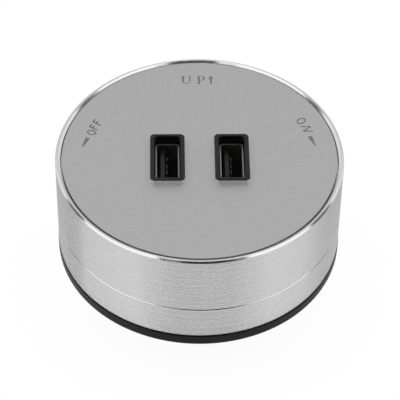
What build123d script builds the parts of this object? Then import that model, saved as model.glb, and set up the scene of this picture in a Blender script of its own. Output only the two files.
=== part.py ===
from build123d import *
import math
import os

os.makedirs("parts", exist_ok=True)

# Twist-lock adapter for a power track, with two USB-A sockets in its face.
# The origin is the centre of the face that seats on the track, +Z points out of the
# face plate and +Y is the way its UP arrow points. All lengths are in millimetres.
# The head turns clockwise on the base by turn_angle, from off to on.

# Turned body, from the seat up
body_radius = 35.0
base_band = 3.45
shadow_gap = 0.3
lower_ring_height = 9.2
seam = 0.3
upper_ring_height = 16.55
ring_wall = 2.0
rib_width = 1.5
rib_height = 1.0
seam_chamfer = 0.12

# Lip of the upper ring, and the face plate in it
lip_chamfer = 0.45
lip_width = 0.35
lip_bevel = 0.6
plate_inset = 0.3
plate_thickness = 1.5
plate_clearance = 0.2
ledge_width = 2.0
ledge_height = 1.3

# Base shell and its rubber pad
base_proud = 0.1
base_edge = 1.2
band_edge = 0.25
step_width = 0.8
floor_thickness = 2.8
spigot_wall = 2.0
spigot_clearance = 0.15
web_thickness = 1.4
web_height = 5.0
pad_proud = 0.2
pad_depth = 1.2
pad_margin = 5.0
pad_width = 8.0
pad_clearance = 0.1
pad_land = 1.3
groove_width = 0.8
groove_depth = 0.5

# Journal of the head in the hub of the base
turn_angle = 90.0
journal_radius = 9.0
journal_bore = 6.6
running_clearance = 0.08
hub_wall = 3.9
bearing_thickness = 1.5
bearing_step = 2.0
washer_gap = 1.0
washer_width = 6.0
washer_thickness = 0.6
running_play = 0.05

# Collar that holds the head down, with its stop
collar_radius = 11.6
collar_thickness = 1.2
collar_clearance = 0.4
collar_play = 0.2
stop_reach = 2.6
stop_half_angle = 8.0
stop_gap = 0.3

# Ball detent
ball_radius = 2.0
ball_clearance = 0.1
notch_depth = 0.5
spring_wire = 0.5
spring_length = 4.4
spring_turns = 5
detent_wall = 1.4

# Floor of the head and the board on it
floor_gap = 0.1
rotor_floor = 1.45
rotor_clearance = 0.3
journal_web = 1.6
standoff_height = 0.8
board_thickness = 1.6
board_clearance = 0.9
stud_margin = 5.6
stud_count = 4
stud_start = 45.0
stud_radius = 2.6
roof_clearance = 0.3

# Track: width of its slot and thickness of the lips that the key turns behind
slot_width = 11.5
slot_clearance = 0.35
track_lip = 4.0
lip_play = 0.5

# Foot: guide lugs of the base, and the key of the head
guide_lug_length = 5.3
guide_lug_gap = 0.2
key_length = 30.0
key_height = 11.1
key_cap_thickness = 1.4
key_edge = 1.0
neck_radius = 5.3
spigot_height = 6.4
spigot_play = 0.1
cell_count = 4
cell_rib = 1.4
cell_wall = 1.5
cell_depth = 1.8
cell_corner = 0.5

# Line and neutral contacts, from the ends of the key up to the board
contact_thickness = 0.6
contact_width = 5.0
contact_bulge = 0.6
contact_reach = 1.0
riser_width = 3.0
riser_offset = 2.2
channel_clearance = 0.35

# Socket inserts and their trims
socket_pitch = 15.6
socket_offset = -1.5
insert_corner = 1.1
insert_flange = 0.3
insert_edge = 0.25
insert_side_wall = 1.1
insert_end_wall = 0.87
pocket_side_play = 0.265
pocket_end_play = 0.41
insert_body_inset = 0.4
insert_depth = 8.0
trim_height = 1.2
trim_proud = 0.05
hook_clearance = 0.05
opening_clearance = 0.1
snap_reach = 0.6
snap_width = 4.0

# USB-A receptacles
shell_width = 5.72
shell_length = 13.14
shell_wall = 0.3
shell_corner = 0.8
shell_recess = 2.3
tongue_thickness = 1.84
tongue_end_gap = 0.72
tongue_offset = -1.18
tongue_recess = 1.0
tongue_chamfer = 0.45
insulator_block = 2.0
insulator_clearance = 0.06
pin_places = (-3.5, -1.0, 1.0, 3.5)
pin_width = 0.9
pin_thickness = 0.25
pin_proud = 0.3
pin_nose = 0.55
pin_clearance = 0.1
tab_width = 1.6
tab_tail = 0.4
tab_clearance = 0.2
latch_width = 1.8
latch_length = 4.2
latch_slot = 0.35

# Transformer on the board
transformer_margin = 12.6
core_width = 15.4
core_depth = 5.0
core_leg = 3.0
core_yoke = 1.5
window_width = 3.8
core_lift = 0.6
core_play = 0.1
bobbin_wall = 0.8

# Other components on the board
side_margin = 10.1
bulk_radius = 5.0
bulk_length = 13.0
output_radius = 3.15
output_height = 9.0
disc_radius = 4.2
disc_thickness = 2.4
front_margin = 11.6
choke_radius = 3.5
choke_height = 8.0
choke_flange = 1.2
fuse_radius = 4.0
fuse_height = 7.5
fuse_gap = 0.3
chip_width = 4.9
chip_length = 3.9
chip_height = 1.6
rectifier_height = 2.6
part_gap = 0.6

# Countersunk screws, large and small: shank and head radius, grip in the thread
screw_shank = 1.25
screw_head = 2.4
screw_grip = 5.0
small_shank = 0.9
small_head = 1.7
small_grip = 4.0
thread_play = 0.05
through_play = 0.15

# Levels above the seat
under = pad_proud
band_top = under + base_band
lower_bottom = band_top + shadow_gap
lower_top = lower_bottom + lower_ring_height
upper_bottom = lower_top + seam
lip_top = upper_bottom + upper_ring_height
plate_top = lip_top - plate_inset
plate_bottom = plate_top - plate_thickness
floor_top = under + floor_thickness
rotor_bottom = upper_bottom + floor_gap
rotor_top = rotor_bottom + rotor_floor
bearing_top = rotor_bottom - running_play - washer_thickness
bearing_bottom = bearing_top - bearing_thickness
spigot_top = bearing_bottom - rib_height
board_bottom = rotor_top + standoff_height
board_top = board_bottom + board_thickness
collar_bottom = under + collar_play
collar_top = collar_bottom + collar_thickness
collar_ceiling = collar_top + collar_play
web_bottom = collar_top + spigot_height
web_top = web_bottom + journal_web
ball_level = (collar_ceiling + bearing_bottom) / 2
key_top = -(track_lip + lip_play)
key_floor = key_top - key_height
foot_bottom = key_floor - key_cap_thickness
trim_top = plate_top + trim_height
insert_top = trim_top + insert_flange
shell_top = insert_top - shell_recess
tongue_top = shell_top - tongue_recess
block_top = board_top + insulator_block
core_bottom = board_top + core_lift
core_height = plate_bottom - roof_clearance - core_bottom

# Radii and widths that follow from the sizes above
ring_bore = body_radius - ring_wall
rib_inner = ring_bore - rib_width
lip_inner = body_radius - lip_chamfer - lip_width
plate_seat = lip_inner - lip_bevel
plate_radius = plate_seat - plate_clearance
spigot_radius = ring_bore - spigot_clearance
spigot_inner = spigot_radius - spigot_wall
rotor_radius = ring_bore - rotor_clearance
board_radius = rib_inner - board_clearance
stud_circle = board_radius - stud_margin
pad_outer = body_radius - pad_margin
pad_inner = pad_outer - pad_width
hub_bore = journal_radius + running_clearance
hub_radius = hub_bore + hub_wall
washer_inner = hub_radius + washer_gap
washer_outer = washer_inner + washer_width
recess_radius = collar_radius + collar_clearance
stop_radius = recess_radius + stop_reach
stop_start = 90 + turn_angle / 2
stop_play = math.degrees(stop_gap / stop_radius)
ball_circle = journal_radius + ball_radius + running_clearance / 2
spring_start = ball_circle + ball_radius
spring_end = spring_start + spring_length
key_width = slot_width - 2 * slot_clearance
key_radius = key_length / 2
channel_width = contact_width + 2 * channel_clearance
end_depth = contact_reach + contact_thickness + channel_clearance
cell_span = key_length - 2 * end_depth - 2 * cell_wall
cell_width = (cell_span + cell_rib) / cell_count - cell_rib
cell_bottom = key_floor + small_grip + thread_play + cell_wall
cell_top = key_top - cell_wall
socket_places = {"left": -socket_pitch / 2, "right": socket_pitch / 2}
pocket_width = shell_width + 2 * pocket_side_play
pocket_length = shell_length + 2 * pocket_end_play
insert_width = pocket_width + 2 * insert_side_wall
insert_length = pocket_length + 2 * insert_end_wall
body_width = insert_width - 2 * insert_body_inset
body_length = insert_length - 2 * insert_body_inset
inner_width = shell_width - 2 * shell_wall
inner_length = shell_length - 2 * shell_wall
tongue_length = inner_length - 2 * tongue_end_gap
transformer_place = board_radius - transformer_margin
side_place = board_radius - side_margin
front_place = front_margin - board_radius
stud_side = stud_circle * math.cos(math.radians(stud_start))
front_spread = stud_side - stud_radius - fuse_radius - fuse_gap
chip_place = front_place - chip_length - 2 * part_gap
seat_down = Plane(origin=(0, 0, 0), x_dir=(1, 0, 0), z_dir=(0, 0, -1))


def write(builder, name):
    """Label a finished piece and write it as its own STEP file."""
    builder.part.label = name
    export_step(builder.part, f"parts/{name}.step")


def turned(points):
    """Solid of revolution about Z from its half section, given as (radius, height)."""
    with BuildPart() as piece:
        with BuildSketch(Plane.XZ):
            with BuildLine():
                Polyline(*points, close=True)
            make_face()
        revolve(axis=Axis.Z)
    return piece.part


def screw(shank, head, length, pan=False):
    """Screw that points down: countersunk and flush with Z = 0, or a pan head standing on it."""
    point = shank / 2
    crown = head - shank if pan else 0
    top = [(0, crown), (head - crown / 2, crown), (head, crown / 2), (head, 0), (shank, 0)]
    if not pan:
        top = [(0, 0), (head, 0), (shank, shank - head)]
    with BuildPart() as piece:
        add(turned(top + [(shank, point - length), (point, -length), (0, -length)]))
        with BuildSketch(Plane.XY.offset(crown)):
            RegularPolygon(radius=head / 2, side_count=6)
        extrude(amount=-(head - shank) / 2, mode=Mode.SUBTRACT)
    return piece.part


def sink(shank, head):
    """Countersunk through hole for a screw of this shank and head."""
    CounterSinkHole(
        radius=shank + through_play,
        counter_sink_radius=head + thread_play,
        counter_sink_angle=90,
    )


def sector(inner, outer, first, last):
    """Ring sector between two radii and two angles in degrees, as a face."""
    with BuildSketch() as shape:
        with BuildLine():
            far = CenterArc((0, 0), outer, first, last - first)
            near = CenterArc((0, 0), inner, first, last - first)
            Line(near @ 0, far @ 0)
            Line(near @ 1, far @ 1)
        make_face()
    return shape.sketch


def key_outline():
    """Key seen from below: as long as key_length, with ends that clear its turn."""
    with BuildSketch() as shape:
        Circle(key_radius)
        Rectangle(key_length, key_width, mode=Mode.INTERSECT)
    return shape.sketch


# Upper ring: lip, bevel and ledge above, a rib below that sits on the rotor's floor
with BuildPart() as upper_ring:
    add(
        turned(
            [
                (ring_bore, upper_bottom),
                (body_radius - seam_chamfer, upper_bottom),
                (body_radius, upper_bottom + seam_chamfer),
                (body_radius, lip_top - lip_chamfer),
                (body_radius - lip_chamfer, lip_top),
                (lip_inner, lip_top),
                (plate_seat, lip_top - lip_bevel),
                (plate_seat, plate_bottom),
                (plate_seat - ledge_width, plate_bottom),
                (plate_seat - ledge_width, plate_bottom - ledge_height),
                (ring_bore, plate_bottom - ledge_height),
                (ring_bore, rotor_top + rib_height),
                (rib_inner, rotor_top + rib_height),
                (rib_inner, rotor_top),
                (ring_bore, rotor_top),
            ]
        )
    )
write(upper_ring, "upper_ring")

# Lower ring: a plain turned sleeve with a rib that the bearing plate clamps
with BuildPart() as lower_ring:
    add(
        turned(
            [
                (ring_bore, lower_bottom),
                (body_radius - seam_chamfer, lower_bottom),
                (body_radius, lower_bottom + seam_chamfer),
                (body_radius, lower_top - seam_chamfer),
                (body_radius - seam_chamfer, lower_top),
                (ring_bore, lower_top),
                (ring_bore, bearing_bottom),
                (rib_inner, bearing_bottom),
                (rib_inner, spigot_top),
                (ring_bore, spigot_top),
            ]
        )
    )
write(lower_ring, "lower_ring")

# Face plate: a disc with one opening for each socket insert
with BuildPart() as face_plate:
    with BuildSketch(Plane.XY.offset(plate_bottom)):
        Circle(plate_radius)
        with GridLocations(socket_pitch, 0, 2, 1):
            with Locations((0, socket_offset)):
                RectangleRounded(
                    body_width + 2 * opening_clearance,
                    body_length + 2 * opening_clearance,
                    insert_corner - insert_body_inset + opening_clearance,
                    mode=Mode.SUBTRACT,
                )
    extrude(amount=plate_thickness)
write(face_plate, "face_plate")

# Studs under the face plate that the head screws pull down on
with BuildPart() as plate_studs:
    with BuildSketch(Plane.XY.offset(board_top)):
        with PolarLocations(stud_circle, stud_count, stud_start):
            Circle(stud_radius)
    extrude(amount=plate_bottom - board_top)
    with Locations(Plane.XY.offset(board_top)):
        with PolarLocations(stud_circle, stud_count, stud_start):
            Cylinder(
                screw_shank + thread_play,
                screw_grip + thread_play,
                align=(Align.CENTER, Align.CENTER, Align.MIN),
                mode=Mode.SUBTRACT,
            )
write(plate_studs, "plate_studs")

# Rotor: floor of the head, with the journal that turns in the hub
with BuildPart() as rotor:
    add(
        turned(
            [
                (journal_bore, collar_top),
                (journal_radius, collar_top),
                (journal_radius, rotor_bottom),
                (rotor_radius, rotor_bottom),
                (rotor_radius, rotor_top),
                (journal_bore, rotor_top),
                (journal_bore, web_top),
                (0, web_top),
                (0, web_bottom),
                (journal_bore, web_bottom),
            ]
        )
    )
    with BuildSketch(Plane.XY.offset(rotor_top)):
        with PolarLocations(stud_circle, stud_count, stud_start):
            Circle(stud_radius)
    extrude(amount=standoff_height)
    with Locations(seat_down.offset(-rotor_bottom)):
        with PolarLocations(stud_circle, stud_count, stud_start):
            sink(screw_shank, screw_head)
    with BuildSketch(Plane.XY.offset(web_bottom)):
        with GridLocations(2 * riser_offset, 0, 2, 1):
            Rectangle(contact_thickness + 2 * channel_clearance, riser_width + 2 * channel_clearance)
        with GridLocations(0, 2 * (small_head + riser_offset), 1, 2):
            Circle(small_shank + through_play)
    extrude(amount=journal_web, mode=Mode.SUBTRACT)
    with Locations(Location((0, 0, ball_level))):
        with PolarLocations(journal_radius + ball_radius - notch_depth, 4, start_angle=90):
            Sphere(ball_radius, mode=Mode.SUBTRACT)
write(rotor, "rotor")

# Screws that hold rotor, board and face plate together
with BuildPart() as head_screws:
    with Locations(seat_down.offset(-rotor_bottom)):
        with PolarLocations(stud_circle, stud_count, stud_start):
            add(screw(screw_shank, screw_head, board_top - rotor_bottom + screw_grip))
write(head_screws, "head_screws")

# Base shell: black band, floor, spigot, hub, screw bosses, webs and guide lugs
with BuildPart() as base_shell:
    add(
        turned(
            [
                (hub_bore, collar_ceiling),
                (recess_radius, collar_ceiling),
                (recess_radius, under),
                (body_radius + base_proud, under),
                (body_radius + base_proud, band_top),
                (body_radius - step_width, band_top),
                (body_radius - step_width, lower_bottom),
                (spigot_radius, lower_bottom),
                (spigot_radius, spigot_top),
                (spigot_inner, spigot_top),
                (spigot_inner, floor_top),
                (hub_radius, floor_top),
                (hub_radius, bearing_bottom),
                (hub_bore, bearing_bottom),
            ]
        )
    )
    band = base_shell.edges().filter_by(GeomType.CIRCLE).group_by(SortBy.RADIUS)[-1].sort_by(Axis.Z)
    fillet(band[0], base_edge)
    band = base_shell.edges().filter_by(GeomType.CIRCLE).group_by(SortBy.RADIUS)[-1].sort_by(Axis.Z)
    fillet(band[-1], band_edge)
    with BuildSketch(Plane.XY.offset(under)):
        Circle(pad_outer)
        Circle(pad_inner, mode=Mode.SUBTRACT)
    extrude(amount=pad_depth, mode=Mode.SUBTRACT)
    with BuildSketch(Plane.XY.offset(under)):
        add(
            sector(
                recess_radius - stop_gap,
                stop_radius,
                stop_start - turn_angle - stop_half_angle - stop_play,
                stop_start + stop_half_angle + stop_play,
            )
        )
    extrude(amount=collar_ceiling - under, mode=Mode.SUBTRACT)
    with BuildSketch(Plane.XY.offset(floor_top)):
        with PolarLocations(stud_circle, stud_count, stud_start):
            Circle(stud_radius)
    extrude(amount=bearing_bottom - floor_top)
    with BuildSketch(Plane.XY.offset(floor_top)):
        for angle in (0, 45, 135):
            Rectangle(2 * (spigot_inner + spigot_wall / 2), web_thickness, rotation=angle)
        Circle(hub_radius - hub_wall / 2, mode=Mode.SUBTRACT)
    extrude(amount=web_height)
    with Locations(Plane.XY.offset(bearing_bottom)):
        with PolarLocations(stud_circle, stud_count, stud_start):
            Hole(screw_shank + thread_play, screw_grip + thread_play)
    for side in (1, -1):
        bore_plane = Plane(origin=(0, 0, ball_level), x_dir=(1, 0, 0), z_dir=(0, side, 0))
        with BuildSketch(bore_plane.offset(hub_radius - hub_wall / 2)):
            Circle(ball_radius + ball_clearance + detent_wall)
        extrude(amount=spring_end + detent_wall - hub_radius + hub_wall / 2)
        with BuildSketch(bore_plane.offset(hub_bore - ball_clearance)):
            Circle(ball_radius + ball_clearance)
        extrude(amount=spring_end - hub_bore + ball_clearance, mode=Mode.SUBTRACT)
    with BuildSketch(Plane.XY.offset(under)):
        for side in (1, -1):
            with Locations((side * (recess_radius + guide_lug_gap + guide_lug_length / 2), 0)):
                Rectangle(guide_lug_length, key_width)
    extrude(amount=-(under + track_lip - guide_lug_gap))
    lug_corners = base_shell.edges().filter_by(Axis.Z).group_by(Axis.Z)[0]
    fillet(lug_corners.filter_by(lambda edge: edge.center().Z < 0), key_edge)
write(base_shell, "base_shell")

# Rubber ring that grips the track, with a groove inside each of its edges
pad_first = pad_inner + pad_clearance
pad_last = pad_outer - pad_clearance
with BuildPart() as friction_pad:
    add(
        turned(
            [
                (pad_first, 0),
                (pad_first + pad_land, 0),
                (pad_first + pad_land, groove_depth),
                (pad_first + pad_land + groove_width, groove_depth),
                (pad_first + pad_land + groove_width, 0),
                (pad_last - pad_land - groove_width, 0),
                (pad_last - pad_land - groove_width, groove_depth),
                (pad_last - pad_land, groove_depth),
                (pad_last - pad_land, 0),
                (pad_last, 0),
                (pad_last, under + pad_depth),
                (pad_first, under + pad_depth),
            ]
        )
    )
write(friction_pad, "friction_pad")

# Plate that closes the base, clamps the lower ring and carries the head's washer
with BuildPart() as bearing_plate:
    add(
        turned(
            [
                (hub_bore, bearing_bottom),
                (rib_inner - rotor_clearance - bearing_step, bearing_bottom),
                (rib_inner - rotor_clearance - bearing_step, spigot_top),
                (rib_inner - rotor_clearance, spigot_top),
                (rib_inner - rotor_clearance, bearing_bottom),
                (rotor_radius, bearing_bottom),
                (rotor_radius, bearing_top),
                (hub_bore, bearing_top),
            ]
        )
    )
    with Locations(Plane.XY.offset(bearing_top)):
        with PolarLocations(stud_circle, stud_count, stud_start):
            sink(screw_shank, screw_head)
write(bearing_plate, "bearing_plate")

# Screws of the bearing plate
with BuildPart() as base_screws:
    with Locations(Plane.XY.offset(bearing_top)):
        with PolarLocations(stud_circle, stud_count, stud_start):
            add(screw(screw_shank, screw_head, bearing_thickness + screw_grip))
write(base_screws, "base_screws")

# Slippery washer between base and head
with BuildPart() as thrust_washer:
    with BuildSketch(Plane.XY.offset(bearing_top)):
        Circle(washer_outer)
        Circle(washer_inner, mode=Mode.SUBTRACT)
    extrude(amount=washer_thickness)
write(thrust_washer, "thrust_washer")

# Detent: a ball and a spring in each radial bore of the hub
with BuildPart() as detent_balls:
    for side in (1, -1):
        with Locations((0, side * ball_circle, ball_level)):
            Sphere(ball_radius)
write(detent_balls, "detent_balls")

coil_radius = ball_radius - spring_wire / 2
coil_height = spring_length - 2 * spring_wire
coil = Helix(pitch=coil_height / spring_turns, height=coil_height, radius=coil_radius)
with BuildPart(mode=Mode.PRIVATE) as detent_coil:
    with BuildSketch(Plane(origin=coil @ 0, z_dir=coil % 0)):
        Circle(spring_wire / 2)
    sweep(path=coil, is_frenet=True)
with BuildPart() as detent_springs:
    for side in (1, -1):
        start = side * (spring_start + spring_wire)
        with Locations(Plane(origin=(0, start, ball_level), x_dir=(1, 0, 0), z_dir=(0, side, 0))):
            add(detent_coil.part)
write(detent_springs, "detent_springs")

# Key body: collar and stop lug, neck, and the key with its channels for the contacts and
# the cored cells in its flanks
with BuildPart() as key_body:
    add(
        turned(
            [
                (0, web_bottom),
                (journal_bore - spigot_play, web_bottom),
                (journal_bore - spigot_play, collar_top),
                (collar_radius, collar_top),
                (collar_radius, collar_bottom),
                (neck_radius, collar_bottom),
                (neck_radius, key_top),
                (0, key_top),
            ]
        )
    )
    with BuildSketch(Plane.XY.offset(collar_bottom)):
        add(
            sector(
                collar_radius - stop_gap,
                stop_radius - stop_gap,
                stop_start - stop_half_angle,
                stop_start + stop_half_angle,
            )
        )
    extrude(amount=collar_thickness)
    with BuildSketch(Plane.XY.offset(key_floor)):
        add(key_outline())
    extrude(amount=key_height)
    with BuildSketch(Plane.XY.offset(key_floor)):
        with GridLocations(2 * riser_offset, 0, 2, 1):
            Rectangle(contact_thickness + 2 * channel_clearance, riser_width + 2 * channel_clearance)
    extrude(amount=web_bottom - key_floor, mode=Mode.SUBTRACT)
    with BuildSketch(Plane.XY.offset(key_floor)):
        Rectangle(key_length - 2 * contact_reach, channel_width)
    extrude(amount=contact_thickness + 2 * channel_clearance, mode=Mode.SUBTRACT)
    with BuildSketch(Plane.XY.offset(key_floor)):
        for side in (1, -1):
            with Locations((side * key_radius, 0)):
                Rectangle(2 * end_depth, channel_width)
    extrude(amount=key_height - contact_reach - contact_thickness, mode=Mode.SUBTRACT)
    with Locations(Plane.XY.offset(web_bottom)):
        with GridLocations(0, 2 * (small_head + riser_offset), 1, 2):
            Hole(small_shank + thread_play, small_grip + thread_play)
    with Locations(seat_down.offset(-key_floor)):
        for side in (1, -1):
            with Locations((side * key_radius / 2, side * (channel_width + key_width) / 4)):
                Hole(small_shank + thread_play, small_grip + thread_play)
    for side in (1, -1):
        flank = Plane(
            origin=(0, side * key_width / 2, (cell_bottom + cell_top) / 2),
            x_dir=(1, 0, 0),
            z_dir=(0, side, 0),
        )
        with BuildSketch(flank):
            with GridLocations(cell_width + cell_rib, 0, cell_count, 1):
                RectangleRounded(cell_width, cell_top - cell_bottom, cell_corner)
        extrude(amount=-cell_depth, mode=Mode.SUBTRACT)
write(key_body, "key_body")

# Screws from the rotor's web down into the key
with BuildPart() as key_screws:
    with Locations(Plane.XY.offset(web_top)):
        with GridLocations(0, 2 * (small_head + riser_offset), 1, 2):
            add(screw(small_shank, small_head, journal_web + small_grip, pan=True))
write(key_screws, "key_screws")

# Cap that closes the key, with a web between its two contacts
with BuildPart() as key_cap:
    with BuildSketch(Plane.XY.offset(foot_bottom)):
        add(key_outline())
    extrude(amount=key_cap_thickness)
    chamfer(key_cap.faces().sort_by(Axis.Z)[0].edges(), key_edge)
    with BuildSketch(Plane.XY.offset(key_floor)):
        Rectangle(riser_offset, contact_width)
    extrude(amount=contact_thickness)
    with Locations(seat_down.offset(-foot_bottom)):
        for side in (1, -1):
            with Locations((side * key_radius / 2, side * (channel_width + key_width) / 4)):
                sink(small_shank, small_head)
write(key_cap, "key_cap")

# Screws of the key cap
with BuildPart() as cap_screws:
    with Locations(seat_down.offset(-foot_bottom)):
        for side in (1, -1):
            with Locations((side * key_radius / 2, side * (channel_width + key_width) / 4)):
                add(screw(small_shank, small_head, key_cap_thickness + small_grip))
write(cap_screws, "cap_screws")


def track_contact(side):
    """Sprung strip: up the neck to the board, along the key, and bowed out of its end."""
    run = key_floor + channel_clearance + contact_thickness / 2
    foot = side * (key_radius - contact_reach - contact_thickness / 2)
    bow = side * (key_radius + contact_bulge - contact_thickness / 2)
    tip = key_top - contact_reach - contact_thickness - channel_clearance
    riser = side * riser_offset
    with BuildPart() as piece:
        with BuildSketch(Plane.XZ):
            with BuildLine():
                Line((riser, run), (foot, run))
                ThreePointArc((foot, run), (bow, (run + tip) / 2), (foot, tip - contact_thickness))
            trace(line_width=contact_thickness)
        extrude(amount=contact_width / 2, both=True)
        with BuildSketch(Plane.XZ):
            with BuildLine():
                Line((riser, run), (riser, board_top + contact_thickness))
            trace(line_width=contact_thickness)
        extrude(amount=riser_width / 2, both=True)
    return piece


write(track_contact(1), "line_contact")
write(track_contact(-1), "neutral_contact")


def box_ring(width, length, corner, hole_width, hole_length, hole_corner):
    """Rounded rectangle with a rounded rectangular hole, as a face."""
    with BuildSketch() as shape:
        RectangleRounded(width, length, corner)
        RectangleRounded(hole_width, hole_length, hole_corner, mode=Mode.SUBTRACT)
    return shape.sketch


def socket_trim(place):
    """Bright sleeve between the face plate and the flange of the insert."""
    with BuildPart() as piece:
        with BuildSketch(Plane((place, socket_offset, plate_top))):
            add(
                box_ring(
                    insert_width + 2 * trim_proud,
                    insert_length + 2 * trim_proud,
                    insert_corner + trim_proud,
                    body_width + 2 * opening_clearance,
                    body_length + 2 * opening_clearance,
                    insert_corner - insert_body_inset + opening_clearance,
                )
            )
        extrude(amount=trim_height)
    return piece


def socket_insert(place):
    """Black insert: flange, sleeve around the receptacle, and a snap hook at each end."""
    with BuildPart() as piece:
        with BuildSketch(Plane((place, socket_offset, trim_top))):
            RectangleRounded(insert_width, insert_length, insert_corner)
        extrude(amount=insert_flange)
        fillet(piece.faces().sort_by(Axis.Z)[-1].edges(), insert_edge)
        with BuildSketch(Plane((place, socket_offset, plate_top - insert_depth))):
            RectangleRounded(body_width, body_length, insert_corner - insert_body_inset)
        extrude(amount=trim_top - plate_top + insert_depth)
        with BuildSketch(Plane((place, socket_offset, plate_top - insert_depth))):
            RectangleRounded(pocket_width, pocket_length, shell_corner)
        extrude(amount=insert_top - plate_top + insert_depth, mode=Mode.SUBTRACT)
        rim = piece.faces().sort_by(Axis.Z)[-1].inner_wires()[0].edges()
        chamfer(rim, insert_edge / 2)
        for side in (1, -1):
            root = socket_offset + side * (body_length / 2 - opening_clearance)
            hook = socket_offset + side * (body_length / 2 + snap_reach)
            shelf = plate_bottom - hook_clearance
            with BuildSketch(Plane(origin=(place, 0, 0), x_dir=(0, 1, 0), z_dir=(1, 0, 0))):
                Polygon((root, shelf), (hook, shelf), (root, shelf - 3 * snap_reach), align=None)
            extrude(amount=snap_width / 2, both=True)
    return piece


def usb_shell(place):
    """Drawn steel sleeve with two latch springs in each broad wall and four tabs in the board."""
    latch_level = (block_top + shell_top) / 2
    with BuildPart() as piece:
        with BuildSketch(Plane((place, socket_offset, board_top))):
            add(
                box_ring(
                    shell_width,
                    shell_length,
                    shell_corner,
                    inner_width,
                    inner_length,
                    shell_corner - shell_wall,
                )
            )
        extrude(amount=shell_top - board_top)
        with BuildSketch(Plane((place, socket_offset, board_top))):
            with GridLocations(shell_width - shell_wall, shell_length / 2, 2, 2):
                Rectangle(shell_wall, tab_width)
        extrude(amount=-(board_thickness + tab_tail))
        broad = Plane(origin=(place, socket_offset, latch_level), x_dir=(0, 1, 0), z_dir=(1, 0, 0))
        with BuildSketch(broad):
            with GridLocations(shell_length / 2, 0, 2, 1):
                Rectangle(latch_width + 2 * latch_slot, latch_length + latch_slot)
            with GridLocations(shell_length / 2, 0, 2, 1):
                with Locations((0, -latch_slot / 2)):
                    Rectangle(latch_width, latch_length, mode=Mode.SUBTRACT)
        extrude(amount=shell_width, both=True, mode=Mode.SUBTRACT)
    return piece


def usb_insulator(place):
    """Moulded block and tongue, with a groove for each contact."""
    face = tongue_offset + tongue_thickness / 2
    groove = pin_thickness + pin_clearance
    with BuildPart() as piece:
        with BuildSketch(Plane((place, socket_offset, block_top))):
            with Locations((tongue_offset, 0)):
                Rectangle(tongue_thickness, tongue_length)
        extrude(amount=tongue_top - block_top)
        chamfer(piece.faces().sort_by(Axis.Z)[-1].edges().filter_by(Axis.Y), tongue_chamfer)
        with BuildSketch(Plane((place, socket_offset, board_top))):
            RectangleRounded(
                inner_width - 2 * insulator_clearance,
                inner_length - 2 * insulator_clearance,
                shell_corner - shell_wall,
            )
        extrude(amount=insulator_block)
        with BuildSketch(Plane((place, socket_offset, board_top))):
            for pin in pin_places:
                with Locations((face - groove / 2, pin)):
                    Rectangle(groove, pin_width + 2 * pin_clearance)
        extrude(amount=tongue_top - tongue_chamfer - groove - board_top, mode=Mode.SUBTRACT)
    return piece


def usb_contacts(place):
    """Four sprung strips that rise from the grooves of the tongue and turn back in at a nose."""
    face = place + tongue_offset + tongue_thickness / 2
    flat = face - pin_clearance / 2 - pin_thickness / 2
    crest = face + pin_proud - pin_thickness / 2
    tip = tongue_top - tongue_chamfer - pin_thickness - 4 * pin_clearance
    start = block_top + tongue_thickness
    bend = math.acos(1 - (crest - flat) / pin_nose)
    crown = tip - pin_nose * math.sin(bend)
    middle = (crest - pin_nose * (1 - math.cos(bend / 2)), crown + pin_nose * math.sin(bend / 2))
    with BuildPart() as piece:
        for pin in pin_places:
            side = Plane(origin=(0, socket_offset + pin, 0), x_dir=(1, 0, 0), z_dir=(0, -1, 0))
            with BuildSketch(side):
                with BuildLine():
                    Polyline((flat, board_top), (flat, start), (crest, crown))
                    ThreePointArc((crest, crown), middle, (flat, tip))
                trace(line_width=pin_thickness)
            extrude(amount=pin_width / 2, both=True)
    return piece


for side, place in socket_places.items():
    write(socket_trim(place), f"socket_trim_{side}")
    write(socket_insert(place), f"socket_insert_{side}")
    write(usb_shell(place), f"usb_shell_{side}")
    write(usb_insulator(place), f"usb_insulator_{side}")
    write(usb_contacts(place), f"usb_contacts_{side}")

# Power board, with holes for the screws, the track contacts and the receptacles' tabs
with BuildPart() as power_board:
    with BuildSketch(Plane.XY.offset(board_bottom)):
        Circle(board_radius)
        with PolarLocations(stud_circle, stud_count, stud_start):
            Circle(screw_shank + through_play, mode=Mode.SUBTRACT)
        with GridLocations(2 * riser_offset, 0, 2, 1):
            Rectangle(
                contact_thickness + 2 * tab_clearance,
                riser_width + 2 * tab_clearance,
                mode=Mode.SUBTRACT,
            )
        for place in socket_places.values():
            with Locations((place, socket_offset)):
                with GridLocations(shell_width - shell_wall, shell_length / 2, 2, 2):
                    Rectangle(
                        shell_wall + 2 * tab_clearance,
                        tab_width + 2 * tab_clearance,
                        mode=Mode.SUBTRACT,
                    )
    extrude(amount=board_thickness)
write(power_board, "power_board")

# Transformer: a core with three legs, a bobbin on the middle leg and the winding on it
with BuildPart() as transformer_core:
    side = Plane(origin=(0, transformer_place, core_bottom), x_dir=(1, 0, 0), z_dir=(0, -1, 0))
    with BuildSketch(side):
        Rectangle(core_width, core_height, align=(Align.CENTER, Align.MIN))
        with Locations((0, core_yoke)):
            with GridLocations(core_leg + window_width, 0, 2, 1):
                Rectangle(
                    window_width,
                    core_height - 2 * core_yoke,
                    align=(Align.CENTER, Align.MIN),
                    mode=Mode.SUBTRACT,
                )
    extrude(amount=core_depth / 2, both=True)
write(transformer_core, "transformer_core")

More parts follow.
